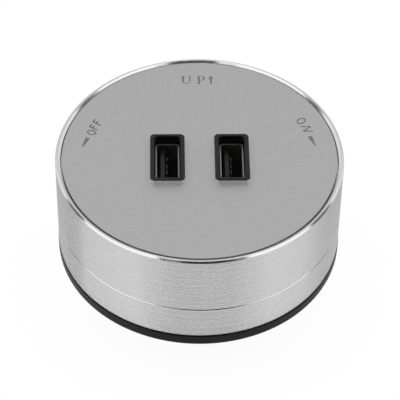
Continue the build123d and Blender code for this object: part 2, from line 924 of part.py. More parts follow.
bobbin_width = core_leg + 2 * window_width - 2 * core_play
bobbin_bottom = core_bottom + core_yoke + core_play
bobbin_height = core_height - 2 * core_yoke - 2 * core_play
rail_width = (bobbin_width - core_depth) / 2 - core_play
with BuildPart() as transformer_bobbin:
    with BuildSketch(Plane((0, transformer_place, bobbin_bottom))):
        RectangleRounded(bobbin_width, bobbin_width, core_leg / 2)
    extrude(amount=bobbin_wall)
    with BuildSketch(Plane((0, transformer_place, bobbin_bottom + bobbin_height - bobbin_wall))):
        RectangleRounded(bobbin_width, bobbin_width, core_leg / 2)
    extrude(amount=bobbin_wall)
    with BuildSketch(Plane((0, transformer_place, bobbin_bottom))):
        Rectangle(core_leg + 2 * core_play + 2 * bobbin_wall, core_depth + 2 * core_play + 2 * bobbin_wall)
    extrude(amount=bobbin_height)
    with BuildSketch(Plane((0, transformer_place, bobbin_bottom))):
        Rectangle(core_leg + 2 * core_play, core_depth + 2 * core_play)
    extrude(amount=bobbin_height, mode=Mode.SUBTRACT)
    with BuildSketch(Plane((0, transformer_place, board_top))):
        with GridLocations(0, bobbin_width - rail_width, 1, 2):
            Rectangle(bobbin_width, rail_width)
    extrude(amount=bobbin_bottom + bobbin_wall - board_top)
write(transformer_bobbin, "transformer_bobbin")

with BuildPart() as transformer_winding:
    with BuildSketch(Plane((0, transformer_place, bobbin_bottom + bobbin_wall))):
        RectangleRounded(
            bobbin_width - bobbin_wall,
            bobbin_width - bobbin_wall,
            core_leg,
        )
        Rectangle(
            core_leg + 2 * core_play + 2 * bobbin_wall,
            core_depth + 2 * core_play + 2 * bobbin_wall,
            mode=Mode.SUBTRACT,
        )
    extrude(amount=bobbin_height - 2 * bobbin_wall)
write(transformer_winding, "transformer_winding")


def can(radius, length):
    """Capacitor can standing on Z = 0, with a crimped bead near its foot."""
    bead = radius / 8
    return turned(
        [
            (0, 0),
            (radius - bead, 0),
            (radius, bead),
            (radius, 2 * bead),
            (radius - bead, 3 * bead),
            (radius, 4 * bead),
            (radius, length - bead),
            (radius - bead, length),
            (0, length),
        ]
    )


# Bulk capacitor, lying beside the left socket
with BuildPart() as bulk_capacitor:
    with Locations(
        Plane(
            origin=(-side_place, socket_offset - bulk_length / 2, board_top + bulk_radius),
            x_dir=(1, 0, 0),
            z_dir=(0, 1, 0),
        )
    ):
        add(can(bulk_radius, bulk_length))
write(bulk_capacitor, "bulk_capacitor")

# Two output capacitors, standing beside the right socket
with BuildPart() as output_capacitors:
    with Locations(Plane((side_place, socket_offset, board_top))):
        with GridLocations(0, 2 * output_radius + part_gap, 1, 2):
            add(can(output_radius, output_height))
write(output_capacitors, "output_capacitors")

# Safety capacitor: a lens-shaped disc on edge, behind the transformer
with BuildPart() as safety_capacitor:
    with Locations(
        Plane(
            origin=(0, transformer_place + core_width / 2 + disc_thickness, board_top + disc_radius),
            x_dir=(1, 0, 0),
            z_dir=(0, 1, 0),
        )
    ):
        add(
            turned(
                [
                    (0, 0),
                    (disc_radius - disc_thickness / 2, 0),
                    (disc_radius, disc_thickness / 2),
                    (disc_radius - disc_thickness / 2, disc_thickness),
                    (0, disc_thickness),
                ]
            )
        )
write(safety_capacitor, "safety_capacitor")

# Choke: a drum core with its winding, and beside it the fuse
with BuildPart() as choke:
    with Locations(Plane((front_spread, front_place, board_top))):
        add(
            turned(
                [
                    (0, 0),
                    (choke_radius, 0),
                    (choke_radius, choke_flange),
                    (choke_radius - choke_flange / 2, choke_flange),
                    (choke_radius - choke_flange / 2, choke_height - choke_flange),
                    (choke_radius, choke_height - choke_flange),
                    (choke_radius, choke_height),
                    (0, choke_height),
                ]
            )
        )
write(choke, "choke")

with BuildPart() as fuse:
    with Locations(Plane((-front_spread, front_place, board_top))):
        Cylinder(fuse_radius, fuse_height, align=(Align.CENTER, Align.CENTER, Align.MIN))
    fillet(fuse.edges().sort_by(Axis.Z)[-1], fuse_radius / 8)
write(fuse, "fuse")

# Bridge rectifier and the two control chips, flat on the board
with BuildPart() as bridge_rectifier:
    with BuildSketch(Plane((0, front_place + chip_length, board_top))):
        Rectangle(chip_width, chip_length)
    extrude(amount=rectifier_height, taper=5)
write(bridge_rectifier, "bridge_rectifier")

with BuildPart() as control_chips:
    with BuildSketch(Plane((0, chip_place, board_top))):
        with GridLocations(chip_width + part_gap, 0, 2, 1):
            Rectangle(chip_width, chip_length)
    extrude(amount=chip_height, taper=5)
write(control_chips, "control_chips")
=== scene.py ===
"""Looks of a twist-lock power-track adapter: turned aluminium puck, blasted face, two USB-A sockets."""

import logging
import math
from dataclasses import dataclass, field
from enum import Enum

import bpy
import numpy as np
from mathutils import Matrix, Vector

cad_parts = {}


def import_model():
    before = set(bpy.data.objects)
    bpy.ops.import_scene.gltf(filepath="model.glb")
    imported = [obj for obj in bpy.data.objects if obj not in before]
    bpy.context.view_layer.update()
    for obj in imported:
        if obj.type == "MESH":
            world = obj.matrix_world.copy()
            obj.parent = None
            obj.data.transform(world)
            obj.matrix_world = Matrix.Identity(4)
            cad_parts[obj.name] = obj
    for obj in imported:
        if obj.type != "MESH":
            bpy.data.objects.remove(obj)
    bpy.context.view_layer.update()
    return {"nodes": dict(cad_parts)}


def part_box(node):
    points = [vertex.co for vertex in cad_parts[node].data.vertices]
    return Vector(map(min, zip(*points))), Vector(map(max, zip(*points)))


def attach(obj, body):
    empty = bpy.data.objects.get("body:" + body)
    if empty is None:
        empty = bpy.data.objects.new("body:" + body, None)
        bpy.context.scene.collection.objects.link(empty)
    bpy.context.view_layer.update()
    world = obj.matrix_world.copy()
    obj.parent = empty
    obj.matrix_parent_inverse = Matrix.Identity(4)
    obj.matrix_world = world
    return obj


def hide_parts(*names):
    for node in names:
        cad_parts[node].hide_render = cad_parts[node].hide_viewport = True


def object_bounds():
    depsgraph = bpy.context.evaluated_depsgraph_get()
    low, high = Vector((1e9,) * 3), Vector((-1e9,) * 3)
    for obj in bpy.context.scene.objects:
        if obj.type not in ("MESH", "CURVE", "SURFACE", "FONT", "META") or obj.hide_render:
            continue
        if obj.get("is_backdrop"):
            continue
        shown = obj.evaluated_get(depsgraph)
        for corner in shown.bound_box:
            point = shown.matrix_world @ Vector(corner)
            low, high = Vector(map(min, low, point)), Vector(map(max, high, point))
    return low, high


log = logging.getLogger("adapter")

MM = 0.001

# Sockets of a Mix node that carry colours: its others have the same names
MIX_FIRST, MIX_SECOND, MIX_RESULT = 6, 7, 2

# Units that a wave of Blender's wave texture takes at scale 1
WAVE_UNITS = math.tau / 20


class Body(Enum):
    """Bodies of the frame that a piece can ride on."""

    BASE = "base"
    HEAD = "head"


class Hand(Enum):
    """The two USB sockets, as seen with the UP arrow away from the reader."""

    LEFT = "left"
    RIGHT = "right"


# Colours, nodes and finishes


def linear(colour: str) -> tuple[float, float, float, float]:
    """Turn an sRGB hex colour into linear RGBA.

    Args:
        colour: Colour such as "#c8c8c8".

    Returns:
        Four channels, with alpha 1.
    """
    srgb = np.array([int(colour[i : i + 2], 16) for i in (1, 3, 5)]) / 255
    rgb = np.where(srgb <= 0.04045, srgb / 12.92, ((srgb + 0.055) / 1.055) ** 2.4)
    return (*(float(channel) for channel in rgb), 1.0)


def add_node(
    tree: bpy.types.NodeTree, kind: str, inputs: dict | None = None, **settings: object
) -> bpy.types.Node:
    """Add one node to a tree, with its settings and links.

    Args:
        tree: Node tree of a material or of the world.
        kind: Class of the node, such as "ShaderNodeMath".
        inputs: Socket name or index, and the value or the other node's output that it takes.
        **settings: Properties of the node.

    Returns:
        The new node.
    """
    node = tree.nodes.new(kind)
    for key, value in settings.items():
        setattr(node, key, value)
    for key, value in (inputs or {}).items():
        if isinstance(value, bpy.types.NodeSocket):
            tree.links.new(value, node.inputs[key])
        else:
            node.inputs[key].default_value = value
    return node


@dataclass(frozen=True)
class Finish:
    """A plain surface: one colour, with nothing on it. Other finishes add their pattern.

    Attributes:
        name: Name of the material, which says what the real surface is.
        colour: sRGB hex colour.
        metallic: 1 for bare metal, 0 for anything else.
        roughness: Roughness of the surface, from 0 to 1.
        ior: Index of refraction. A metal keeps the default.
        pitch: Size of the pattern in millimetres.
        relief: Height of the pattern in millimetres.
        gloss: Specular level, where 0.5 is what the index of refraction gives.
    """

    name: str
    colour: str
    metallic: float = 0.0
    roughness: float = 0.5
    ior: float = 1.5
    pitch: float = 0.2
    relief: float = 0.002
    gloss: float = 0.5

    def pattern(self, tree: bpy.types.NodeTree, shader: bpy.types.Node, place: bpy.types.NodeSocket) -> None:
        """Add the pattern of the surface. A plain one has none.

        Args:
            tree: Node tree of the material.
            shader: The Principled shader.
            place: Object coordinates, in metres.
        """

    def build(self) -> bpy.types.Material:
        """Make the material.

        Returns:
            The finished material.
        """
        material = bpy.data.materials.new(self.name)
        material.use_nodes = True
        tree = material.node_tree
        shader = tree.nodes["Principled BSDF"]
        shader.inputs["Base Color"].default_value = linear(self.colour)
        shader.inputs["Metallic"].default_value = self.metallic
        shader.inputs["Roughness"].default_value = self.roughness
        shader.inputs["IOR"].default_value = self.ior
        shader.inputs["Specular IOR Level"].default_value = self.gloss
        place = add_node(tree, "ShaderNodeTexCoord").outputs["Object"]
        self.pattern(tree, shader, place)
        return material

    def raise_surface(
        self, tree: bpy.types.NodeTree, shader: bpy.types.Node, height: bpy.types.NodeSocket
    ) -> None:
        """Bump the surface by a height from 0 to 1, which stands for the finish's relief.

        Args:
            tree: Node tree of the material.
            shader: The Principled shader.
            height: Output that gives the height.
        """
        bump = add_node(
            tree, "ShaderNodeBump", {"Strength": 1.0, "Distance": self.relief * MM, "Height": height}
        )
        tree.links.new(bump.outputs["Normal"], shader.inputs["Normal"])


@dataclass(frozen=True)
class Grained(Finish):
    """A surface with an even, random grain: blasted metal, spark-eroded mouldings, rubber.

    Attributes:
        mottle: Share by which the colour varies between grains.
        octaves: Finer octaves of noise over the first one.
        rough: Strength of each octave against the one before.
        usual: Values between which nearly all of the noise lies.
    """

    mottle: float = 0.05
    octaves: float = 2.0
    rough: float = 0.6
    usual: tuple[float, float] = (0.3, 0.7)

    def pattern(self, tree: bpy.types.NodeTree, shader: bpy.types.Node, place: bpy.types.NodeSocket) -> None:
        """Add the grain: noise in octaves, which moves the height and a little of the colour.

        Args:
            tree: Node tree of the material.
            shader: The Principled shader.
            place: Object coordinates, in metres.
        """
        grain = {"Scale": 1 / (self.pitch * MM), "Detail": self.octaves, "Roughness": self.rough}
        noise = add_node(tree, "ShaderNodeTexNoise", {"Vector": place, **grain}).outputs["Fac"]
        self.raise_surface(tree, shader, noise)
        span = {"From Min": self.usual[0], "From Max": self.usual[1]}
        span |= {"To Min": 1 - self.mottle, "To Max": 1 + self.mottle}
        shade = add_node(tree, "ShaderNodeMapRange", {"Value": noise, **span})
        tint = add_node(
            tree,
            "ShaderNodeMix",
            {"Factor": 1.0, MIX_FIRST: linear(self.colour), MIX_SECOND: shade.outputs["Result"]},
            data_type="RGBA",
            blend_type="MULTIPLY",
        )
        tree.links.new(tint.outputs[MIX_RESULT], shader.inputs["Base Color"])


@dataclass(frozen=True)
class Turned(Finish):
    """Metal turned on a lathe: the tool's feed leaves one groove beside the other round the axis.

    Attributes:
        stretch: How much the gloss is stretched, from 0 to 1.
        across: Share of a turn that lays the stretch across the grooves.
        chatter_pitch: Spacing of the coarser marks, in millimetres.
        chatter: Height of those marks, in millimetres.
    """

    stretch: float = 1.0
    across: float = 0.25
    chatter_pitch: float = 0.7
    chatter: float = 0.004

    def grooves(
        self, tree: bpy.types.NodeTree, place: bpy.types.NodeSocket, pitch: float
    ) -> bpy.types.NodeSocket:
        """Add a sine wave along Z.

        Args:
            tree: Node tree of the material.
            place: Object coordinates, in metres.
            pitch: Length of a wave, in millimetres.

        Returns:
            Output that goes from 0 to 1 over half a wave.
        """
        return add_node(
            tree,
            "ShaderNodeTexWave",
            {"Vector": place, "Scale": WAVE_UNITS / (pitch * MM), "Distortion": 0.0},
            bands_direction="Z",
        ).outputs["Fac"]

    def pattern(self, tree: bpy.types.NodeTree, shader: bpy.types.Node, place: bpy.types.NodeSocket) -> None:
        """Add fine grooves with coarser marks over them, and stretch the gloss across both.

        Args:
            tree: Node tree of the material.
            shader: The Principled shader.
            place: Object coordinates, in metres.
        """
        coarse = add_node(
            tree,
            "ShaderNodeMath",
            {0: self.grooves(tree, place, self.chatter_pitch), 1: self.chatter / self.relief},
            operation="MULTIPLY",
        )
        height = add_node(
            tree,
            "ShaderNodeMath",
            {0: self.grooves(tree, place, self.pitch), 1: coarse.outputs[0]},
            operation="ADD",
        )
        self.raise_surface(tree, shader, height.outputs[0])
        shader.inputs["Anisotropic"].default_value = self.stretch
        shader.inputs["Anisotropic Rotation"].default_value = self.across
        tangent = add_node(tree, "ShaderNodeTangent", direction_type="RADIAL", axis="Z")
        tree.links.new(tangent.outputs["Tangent"], shader.inputs["Tangent"])


# Real grain and grooves are mostly finer than a pixel, which is 0.25 mm of the object in the picture.
# Each pitch and relief here is drawn as coarse as it needs to show.

# Turned aluminium, clear anodised: silver grey, with the gloss smeared up and down across the grooves.
# The feed grooves and the tool's chatter marks are drawn coarser and many times deeper than real.
TURNED = Turned("turned_aluminium_anodised", "#e1e1e1", 1.0, 0.16, pitch=0.16, relief=0.024, chatter=0.095)
# The same aluminium cut last with a diamond tool: a bright, nearly plain mirror along every edge
DIAMOND_CUT = Turned("diamond_cut_aluminium", "#efefef", 1.0, 0.16, pitch=0.3, relief=0.001, chatter=0.001)
# Aluminium blasted with fine glass beads and anodised: even, grey and matt with a fine sparkle
BLASTED = Grained("bead_blasted_aluminium", "#c8c8c8", 1.0, 0.6, pitch=0.3, relief=0.02, mottle=0.12)
# Aluminium rod, cut and left bare: pale, with a dull shine
BARE_ALUMINIUM = Grained("drawn_aluminium_rod", "#d4d4d4", 1.0, 0.35, pitch=0.4, relief=0.002)
# Laser marking on clear anodised aluminium: dull, and a darker grey than the face
LASERED = Grained("laser_marking", "#7c7c7c", 0.0, 0.75, pitch=0.1, relief=0.002, mottle=0.06)
# Zinc die casting with bright plating: a soft mirror
PLATED = Grained("bright_plated_zinc", "#eaeaea", 1.0, 0.12, pitch=0.5, relief=0.0008, mottle=0.02)
# ABS from a finely eroded mould: black with a soft sheen
BLACK_ABS = Grained("moulded_black_abs", "#060606", 0.0, 0.34, 1.53, pitch=0.18, relief=0.003, gloss=0.16)
# The same ABS in the socket inserts, from a smoother mould: black, with more gloss
INSERT_ABS = Grained("moulded_socket_abs", "#0b0b0b", 0.0, 0.34, 1.46, pitch=0.15, relief=0.002)
# Glass-filled nylon: black, dry and a little streaky
GLASS_NYLON = Grained("glass_filled_nylon", "#1a1a1a", 0.0, 0.55, 1.53, pitch=0.35, relief=0.006)
# Silicone rubber from a matt mould: dark and dry
RUBBER = Grained("moulded_silicone_rubber", "#202020", 0.0, 0.8, 1.42, pitch=0.12, relief=0.004)
# Drawn steel sleeve with dull nickel plating: grey, with blurred highlights
NICKEL_STEEL = Grained("nickel_plated_steel", "#a4a4a2", 1.0, 0.42, pitch=0.3, relief=0.001)
# Contacts of rolled bronze with tin plating: pale and satin
TINNED_BRONZE = Grained("tin_plated_bronze", "#dedcd6", 1.0, 0.5, pitch=0.25, relief=0.001)
# Bare phosphor bronze strip: warm, with a rolled shine
BRONZE = Grained("rolled_phosphor_bronze", "#c79a6b", 1.0, 0.28, pitch=0.3, relief=0.001, mottle=0.08)
# Steel screws with clear zinc plating: cool silver with a soft shine
ZINC = Grained("zinc_plated_screw", "#b9bcc0", 1.0, 0.3, pitch=0.3, relief=0.001)
# Ground and polished bearing steel: a clear mirror
BALL_STEEL = Finish("polished_bearing_steel", "#c8c8c8", 1.0, 0.08)
# Hard-drawn spring wire, dark from its drawing
SPRING_WIRE = Grained("drawn_spring_wire", "#8c8c8e", 1.0, 0.35, pitch=0.2, relief=0.001)
# Acetal washer: milky white and waxy
ACETAL = Grained("machined_acetal", "#e6e4de", 0.0, 0.45, 1.48, pitch=0.4, relief=0.002, mottle=0.02)
# Glass-epoxy board under green solder mask: deep green with a faint ripple
SOLDER_MASK = Grained("green_solder_mask", "#1d5a33", 0.0, 0.3, 1.5, pitch=0.6, relief=0.003, mottle=0.1)
# Sintered manganese-zinc ferrite: charcoal, ground flat
FERRITE = Grained("sintered_ferrite", "#3a3b3d", 0.0, 0.6, 1.8, pitch=0.25, relief=0.004)
# Phenolic bobbin, moulded: black going to brown, with a low sheen
PHENOLIC = Grained("moulded_phenolic", "#1c1a18", 0.0, 0.5, 1.6, pitch=0.25, relief=0.003)
# Polyester tape over the winding: yellow and glossy, with slight waves
TAPE = Grained("polyester_tape", "#d8aa2c", 0.0, 0.25, 1.6, pitch=1.5, relief=0.01, mottle=0.06)
# Shrunk sleeve of the bulk capacitor: black and glossy
SLEEVE = Grained("shrunk_pvc_sleeve", "#17181c", 0.0, 0.22, 1.53, pitch=2.0, relief=0.01)
# Drawn aluminium can of a polymer capacitor: bright and smooth
CAN = Grained("drawn_aluminium_can", "#d0d0d2", 1.0, 0.25, pitch=0.4, relief=0.001)
# Epoxy dip of the safety capacitor: blue and glossy, of uneven thickness
EPOXY_DIP = Grained("blue_epoxy_dip", "#2a4f9c", 0.0, 0.2, 1.56, pitch=1.2, relief=0.02, mottle=0.08)
# Shrink tube round the choke: black and satin
SHRINK_TUBE = Grained("black_shrink_tube", "#18181a", 0.0, 0.45, 1.5, pitch=0.8, relief=0.01)
# Moulded cap of the fuse: brown, with a low gloss
FUSE_CAP = Grained("brown_fuse_cap", "#4b2a1c", 0.0, 0.3, 1.53, pitch=0.3, relief=0.002)
# Epoxy mould compound of the chips: charcoal and matt
CHIP_EPOXY = Grained("chip_mould_compound", "#1b1b1c", 0.0, 0.6, 1.55, pitch=0.15, relief=0.003)


# Meshes


def grid_faces(rows: int, columns: int, wrap_rows: bool, wrap_columns: bool) -> np.ndarray:
    """Quads between the points of a grid, each as four indices in the order that faces outwards.

    Args:
        rows: Number of rows of points.
        columns: Number of points in a row.
        wrap_rows: Whether the last row meets the first.
        wrap_columns: Whether a row's last point meets its first.

    Returns:
        Array of quads, shape (n, 4).
    """
    row, column = np.meshgrid(
        np.arange(rows if wrap_rows else rows - 1),
        np.arange(columns if wrap_columns else columns - 1),
        indexing="ij",
    )
    next_row, next_column = (row + 1) % rows, (column + 1) % columns
    corners = [(row, column), (row, next_column), (next_row, next_column), (next_row, column)]
    return np.stack([r * columns + c for r, c in corners], axis=-1).reshape(-1, 4)


def new_piece(
    name: str, points: np.ndarray, faces: list | np.ndarray, normals: np.ndarray | None = None
) -> bpy.types.Object:
    """Make an object from points and faces.

    Args:
        name: Name of the piece.
        points: Vertices in millimetres, shape (n, 3).
        faces: Faces as vertex indices.
        normals: Normal of each vertex, for a smooth piece, or None for a flat-faced one.

    Returns:
        The object, at the origin.
    """
    mesh = bpy.data.meshes.new(name)
    mesh.from_pydata((points * MM).tolist(), [], np.asarray(faces).tolist())
    if normals is not None:
        mesh.shade_smooth()
        mesh.normals_split_custom_set_from_vertices(normals.tolist())
    piece = bpy.data.objects.new(name, mesh)
    bpy.context.scene.collection.objects.link(piece)
    return piece


def softened(corners: np.ndarray, radius: float, steps: int) -> tuple[np.ndarray, np.ndarray]:
    """Round every corner of a closed outline by a small parabola.

    Point = (1-s)^2 a + 2 s (1-s) corner + s^2 b, with a and b on the two sides of the corner at the
    radius from it, or at 0.45 of a shorter side. The tangent is the derivative of the same formula.

    Args:
        corners: Corners in order, shape (n, 2).
        radius: Distance from a corner at which the rounding starts.
        steps: Points in each rounded corner.

    Returns:
        Points and unit tangents, each of shape (n * steps, 2).
    """
    before, after = np.roll(corners, 1, axis=0) - corners, np.roll(corners, -1, axis=0) - corners
    reach = [np.linalg.norm(side, axis=1, keepdims=True) for side in (before, after)]
    a, b = (
        corners + side / length * np.minimum(radius, 0.45 * length)
        for side, length in zip((before, after), reach, strict=True)
    )
    s = np.linspace(0, 1, steps)[None, :, None]
    a, b, corner = a[:, None], b[:, None], corners[:, None]
    points = (1 - s) ** 2 * a + 2 * s * (1 - s) * corner + s**2 * b
    tangents = (1 - s) * (corner - a) + s * (b - corner)
    tangents = tangents / np.linalg.norm(tangents, axis=2, keepdims=True)
    return points.reshape(-1, 2), tangents.reshape(-1, 2)


def turned_piece(
    name: str, corners: np.ndarray, bright: list[int], edge: float, steps: int, around: int
) -> bpy.types.Object:
    """Carry a closed half section round Z.

    Point = (r cos t, r sin t, z), where (r, z) runs along the softened outline and t round the axis.

    Args:
        name: Name of the piece.
        corners: Half section as (radius, height), with its inside on the left, in millimetres.
        bright: Corners whose following side takes the piece's second material.
        edge: Size of the broken edges.
        steps: Points in each edge.
        around: Points round the axis.

    Returns:
        The object.
    """
    outline, tangents = softened(corners, edge, steps)
    turn = np.linspace(0, math.tau, around, endpoint=False)
    cosine, sine = np.cos(turn), np.sin(turn)
    radius, height = outline[:, :1], outline[:, 1:]
    outward, upward = tangents[:, 1:], -tangents[:, :1]
    flat = np.ones_like(cosine)
    points = np.stack([radius * cosine, radius * sine, height * flat], axis=-1)
    normals = np.stack([outward * cosine, outward * sine, upward * flat], axis=-1)
    faces = grid_faces(len(outline), around, True, True)
    piece = new_piece(name, points.reshape(-1, 3), faces, normals.reshape(-1, 3))
    side = (np.arange(len(outline)) + 1) // steps - 1
    second = np.repeat(np.isin(side, bright), around)
    piece.data.polygons.foreach_set("material_index", second.astype(np.int32))
    return piece


def dress(node: bpy.types.Object, material: bpy.types.Material) -> None:
    """Give every material slot of a piece one material, on the object itself.

    Args:
        node: The piece.
        material: Its material.
    """
    for slot in node.material_slots:
        slot.link = "OBJECT"
        slot.material = material


# Sub-assemblies


@dataclass
class Kit:
    """What every sub-assembly needs: the frame's nodes, and each material made once.

    Attributes:
        nodes: Objects of the frame by node name.
        made: Materials by name.
    """

    nodes: dict[str, bpy.types.Object]
    made: dict[str, bpy.types.Material] = field(default_factory=dict)

    def material(self, finish: Finish) -> bpy.types.Material:
        """Material of a finish, made at its first use."""
        if finish.name not in self.made:
            self.made[finish.name] = finish.build()
        return self.made[finish.name]

    def dress(self, finish: Finish, *names: str) -> None:
        """Dress nodes of the frame in one finish.

        Args:
            finish: The finish.
            *names: Names of the nodes.
        """
        for name in names:
            dress(self.nodes[name], self.material(finish))
            log.info("%s: %s", name, finish.name)

    def add(
        self,
        piece: bpy.types.Object,
        finishes: list[Finish],
        body: Body,
        slot: str,
        replaced: str | None = None,
    ) -> None:
        """Dress a new piece and tell the frame where it belongs.

        Args:
            piece: The new piece.
            finishes: Its finishes, the main one first.
            body: Body that it rides on.
            slot: Not used.
            replaced: Node that it stands for, if any.
        """
        for finish in finishes:
            piece.data.materials.append(self.material(finish))
        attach(piece, body.value)
        if replaced:
            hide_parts(replaced)
        log.info("%s: %s, on %s", piece.name, finishes[0].name, body.value)


def levels(node: str) -> tuple[float, float]:
    """Lowest and highest level of a node at rest, in millimetres."""
    low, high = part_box(node)
    return low[2] / MM, high[2] / MM


@dataclass
class TurnedRings:
    """The two rings of the side wall, with the tool's grooves round them and crisp broken edges.

    Attributes:
        wall: Thickness of both rings.
        lip_chamfer: Chamfer outside the lip.
        lip_width: Flat top of the lip.
        lip_bevel: Width of the bevel inside the lip.
        lip_depth: Depth of that bevel.
        ledge_width: Width of the ledge that the face plate lies on.
        ledge_height: Height of that ledge.
        seam_chamfer: Chamfer at the seam between the rings, and at the foot of the lower one.
        seam_reach: How far each ring reaches into the seam, which looks tight in the photograph.
        rib_width: Width of the rib inside each ring.
        rib_height: Height of that rib.
        standoff: Height of the board over the rotor's floor.
        bearing: Thickness of the bearing plate.
        edge: Size of a broken edge.
        steps: Points in each broken edge.
        around: Points round the axis.
    """

    wall: float = 2.0
    lip_chamfer: float = 0.45
    lip_width: float = 0.35
    lip_bevel: float = 0.5
    lip_depth: float = 0.45
    ledge_width: float = 2.0
    ledge_height: float = 1.3
    seam_chamfer: float = 0.12
    seam_reach: float = 0.11
    rib_width: float = 1.5
    rib_height: float = 1.0
    standoff: float = 0.8
    bearing: float = 1.5
    edge: float = 0.05
    steps: int = 4
    around: int = 384

    def turn(self, name: str, corners: list[tuple[float, float]], bright: list[int]) -> bpy.types.Object:
        """Turn a half section, given by its corners and by those whose next side is cut bright."""
        return turned_piece(name, np.array(corners), bright, self.edge, self.steps, self.around)

    def upper(self, kit: Kit) -> None:
        """Make the upper ring: lip, bevel, ledge and a rib on the rotor's floor.

        Args:
            kit: Frame and materials.
        """
        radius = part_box("upper_ring")[1][0] / MM
        bottom, top = levels("upper_ring")
        bottom -= self.seam_reach
        seat, _ = levels("face_plate")
        floor = levels("power_board")[0] - self.standoff
        bore = radius - self.wall
        lip = radius - self.lip_chamfer - self.lip_width
        seat_radius = lip - self.lip_bevel
        corners = [
            (bore, bottom),
            (radius - self.seam_chamfer, bottom),
            (radius, bottom + self.seam_chamfer),
            (radius, top - self.lip_chamfer),
            (radius - self.lip_chamfer, top),
            (lip, top),
            (seat_radius, top - self.lip_depth),
            (seat_radius, seat),
            (seat_radius - self.ledge_width, seat),
            (seat_radius - self.ledge_width, seat - self.ledge_height),
            (bore, seat - self.ledge_height),
            (bore, floor + self.rib_height),
            (bore - self.rib_width, floor + self.rib_height),
            (bore - self.rib_width, floor),
            (bore, floor),
        ]
        # Cut bright: the chamfer at the seam, and the lip's chamfer, flat top and bevel
        piece = self.turn("upper_ring_turned", corners, [1, 3, 4, 5])
        kit.add(piece, [TURNED, DIAMOND_CUT], Body.HEAD, "turned_aluminium", "upper_ring")

    def lower(self, kit: Kit) -> None:
        """Make the lower ring: a sleeve with a rib under the bearing plate.

        Args:
            kit: Frame and materials.
        """
        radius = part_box("lower_ring")[1][0] / MM
        bottom, top = levels("lower_ring")
        top += self.seam_reach
        clamp = levels("bearing_plate")[1] - self.bearing
        bore = radius - self.wall
        corners = [
            (bore, bottom),
            (radius - self.seam_chamfer, bottom),
            (radius, bottom + self.seam_chamfer),
            (radius, top - self.seam_chamfer),
            (radius - self.seam_chamfer, top),
            (bore, top),
            (bore, clamp),
            (bore - self.rib_width, clamp),
            (bore - self.rib_width, clamp - self.rib_height),
            (bore, clamp - self.rib_height),
        ]
        # Cut bright: the chamfers at both ends of the outside
        piece = self.turn("lower_ring_turned", corners, [1, 3])
        kit.add(piece, [TURNED, DIAMOND_CUT], Body.BASE, "lower_aluminium", "lower_ring")

    def build(self, kit: Kit) -> None:
        """Make both rings.

        Args:
            kit: Frame and materials.
        """
        self.upper(kit)
        self.lower(kit)


# A stroke of a letter: its path, and its width at each point of the path
Stroke = tuple[np.ndarray, np.ndarray]

# Points along a round part of a letter
BOW_POINTS = 25


def line(points: list[tuple[float, float]], *widths: float) -> Stroke:
    """Stroke along straight runs, of one width or with a width at each point."""
    return np.array(points, float), np.broadcast_to(np.array(widths, float), len(points))


def bow(
    centre: tuple[float, float],
    half: tuple[float, float],
    span: tuple[float, float],
    widths: tuple[float, float],
) -> Stroke:
    """Round part of a letter: an arc of an ellipse, whose stroke may swell in its middle.

    Point = (cx + a cos t, cy + b sin t), with t from the first angle to the last. The width goes from
    the first one at both ends to the second one halfway, as the sine of the way along.

    Args:
        centre: Middle of the ellipse.
        half: Half its width and half its height, to the middle of the stroke.
        span: First and last angle, in degrees.
        widths: Width of the stroke at its ends and in its middle.

    Returns:
        Path and widths.
    """
    way = np.linspace(0, 1, BOW_POINTS)
    t = np.radians(span[0] + (span[1] - span[0]) * way)
    path = np.stack([centre[0] + half[0] * np.cos(t), centre[1] + half[1] * np.sin(t)], axis=1)
    return path, widths[0] + (widths[1] - widths[0]) * np.sin(math.pi * way)


@dataclass
class Letter:
    """A letter or an arrow on the face.

    Attributes:
        foot: Place of its foot on the face, in millimetres.
        heading: Way along the line of writing, in degrees from +X.
        upright: Way up the letter, in degrees from +X.
        strokes: Each stroke as its path (n, 2) along and up the letter, and its widths (n,).
    """

    foot: tuple[float, float]
    heading: float
    upright: float
    strokes: list[Stroke]

    def place(self, path: np.ndarray) -> np.ndarray:
        """Turn points along and up the letter into points of the face."""
        ways = np.radians([self.heading, self.upright])
        return np.array(self.foot) + path @ np.stack([np.cos(ways), np.sin(ways)], axis=1)


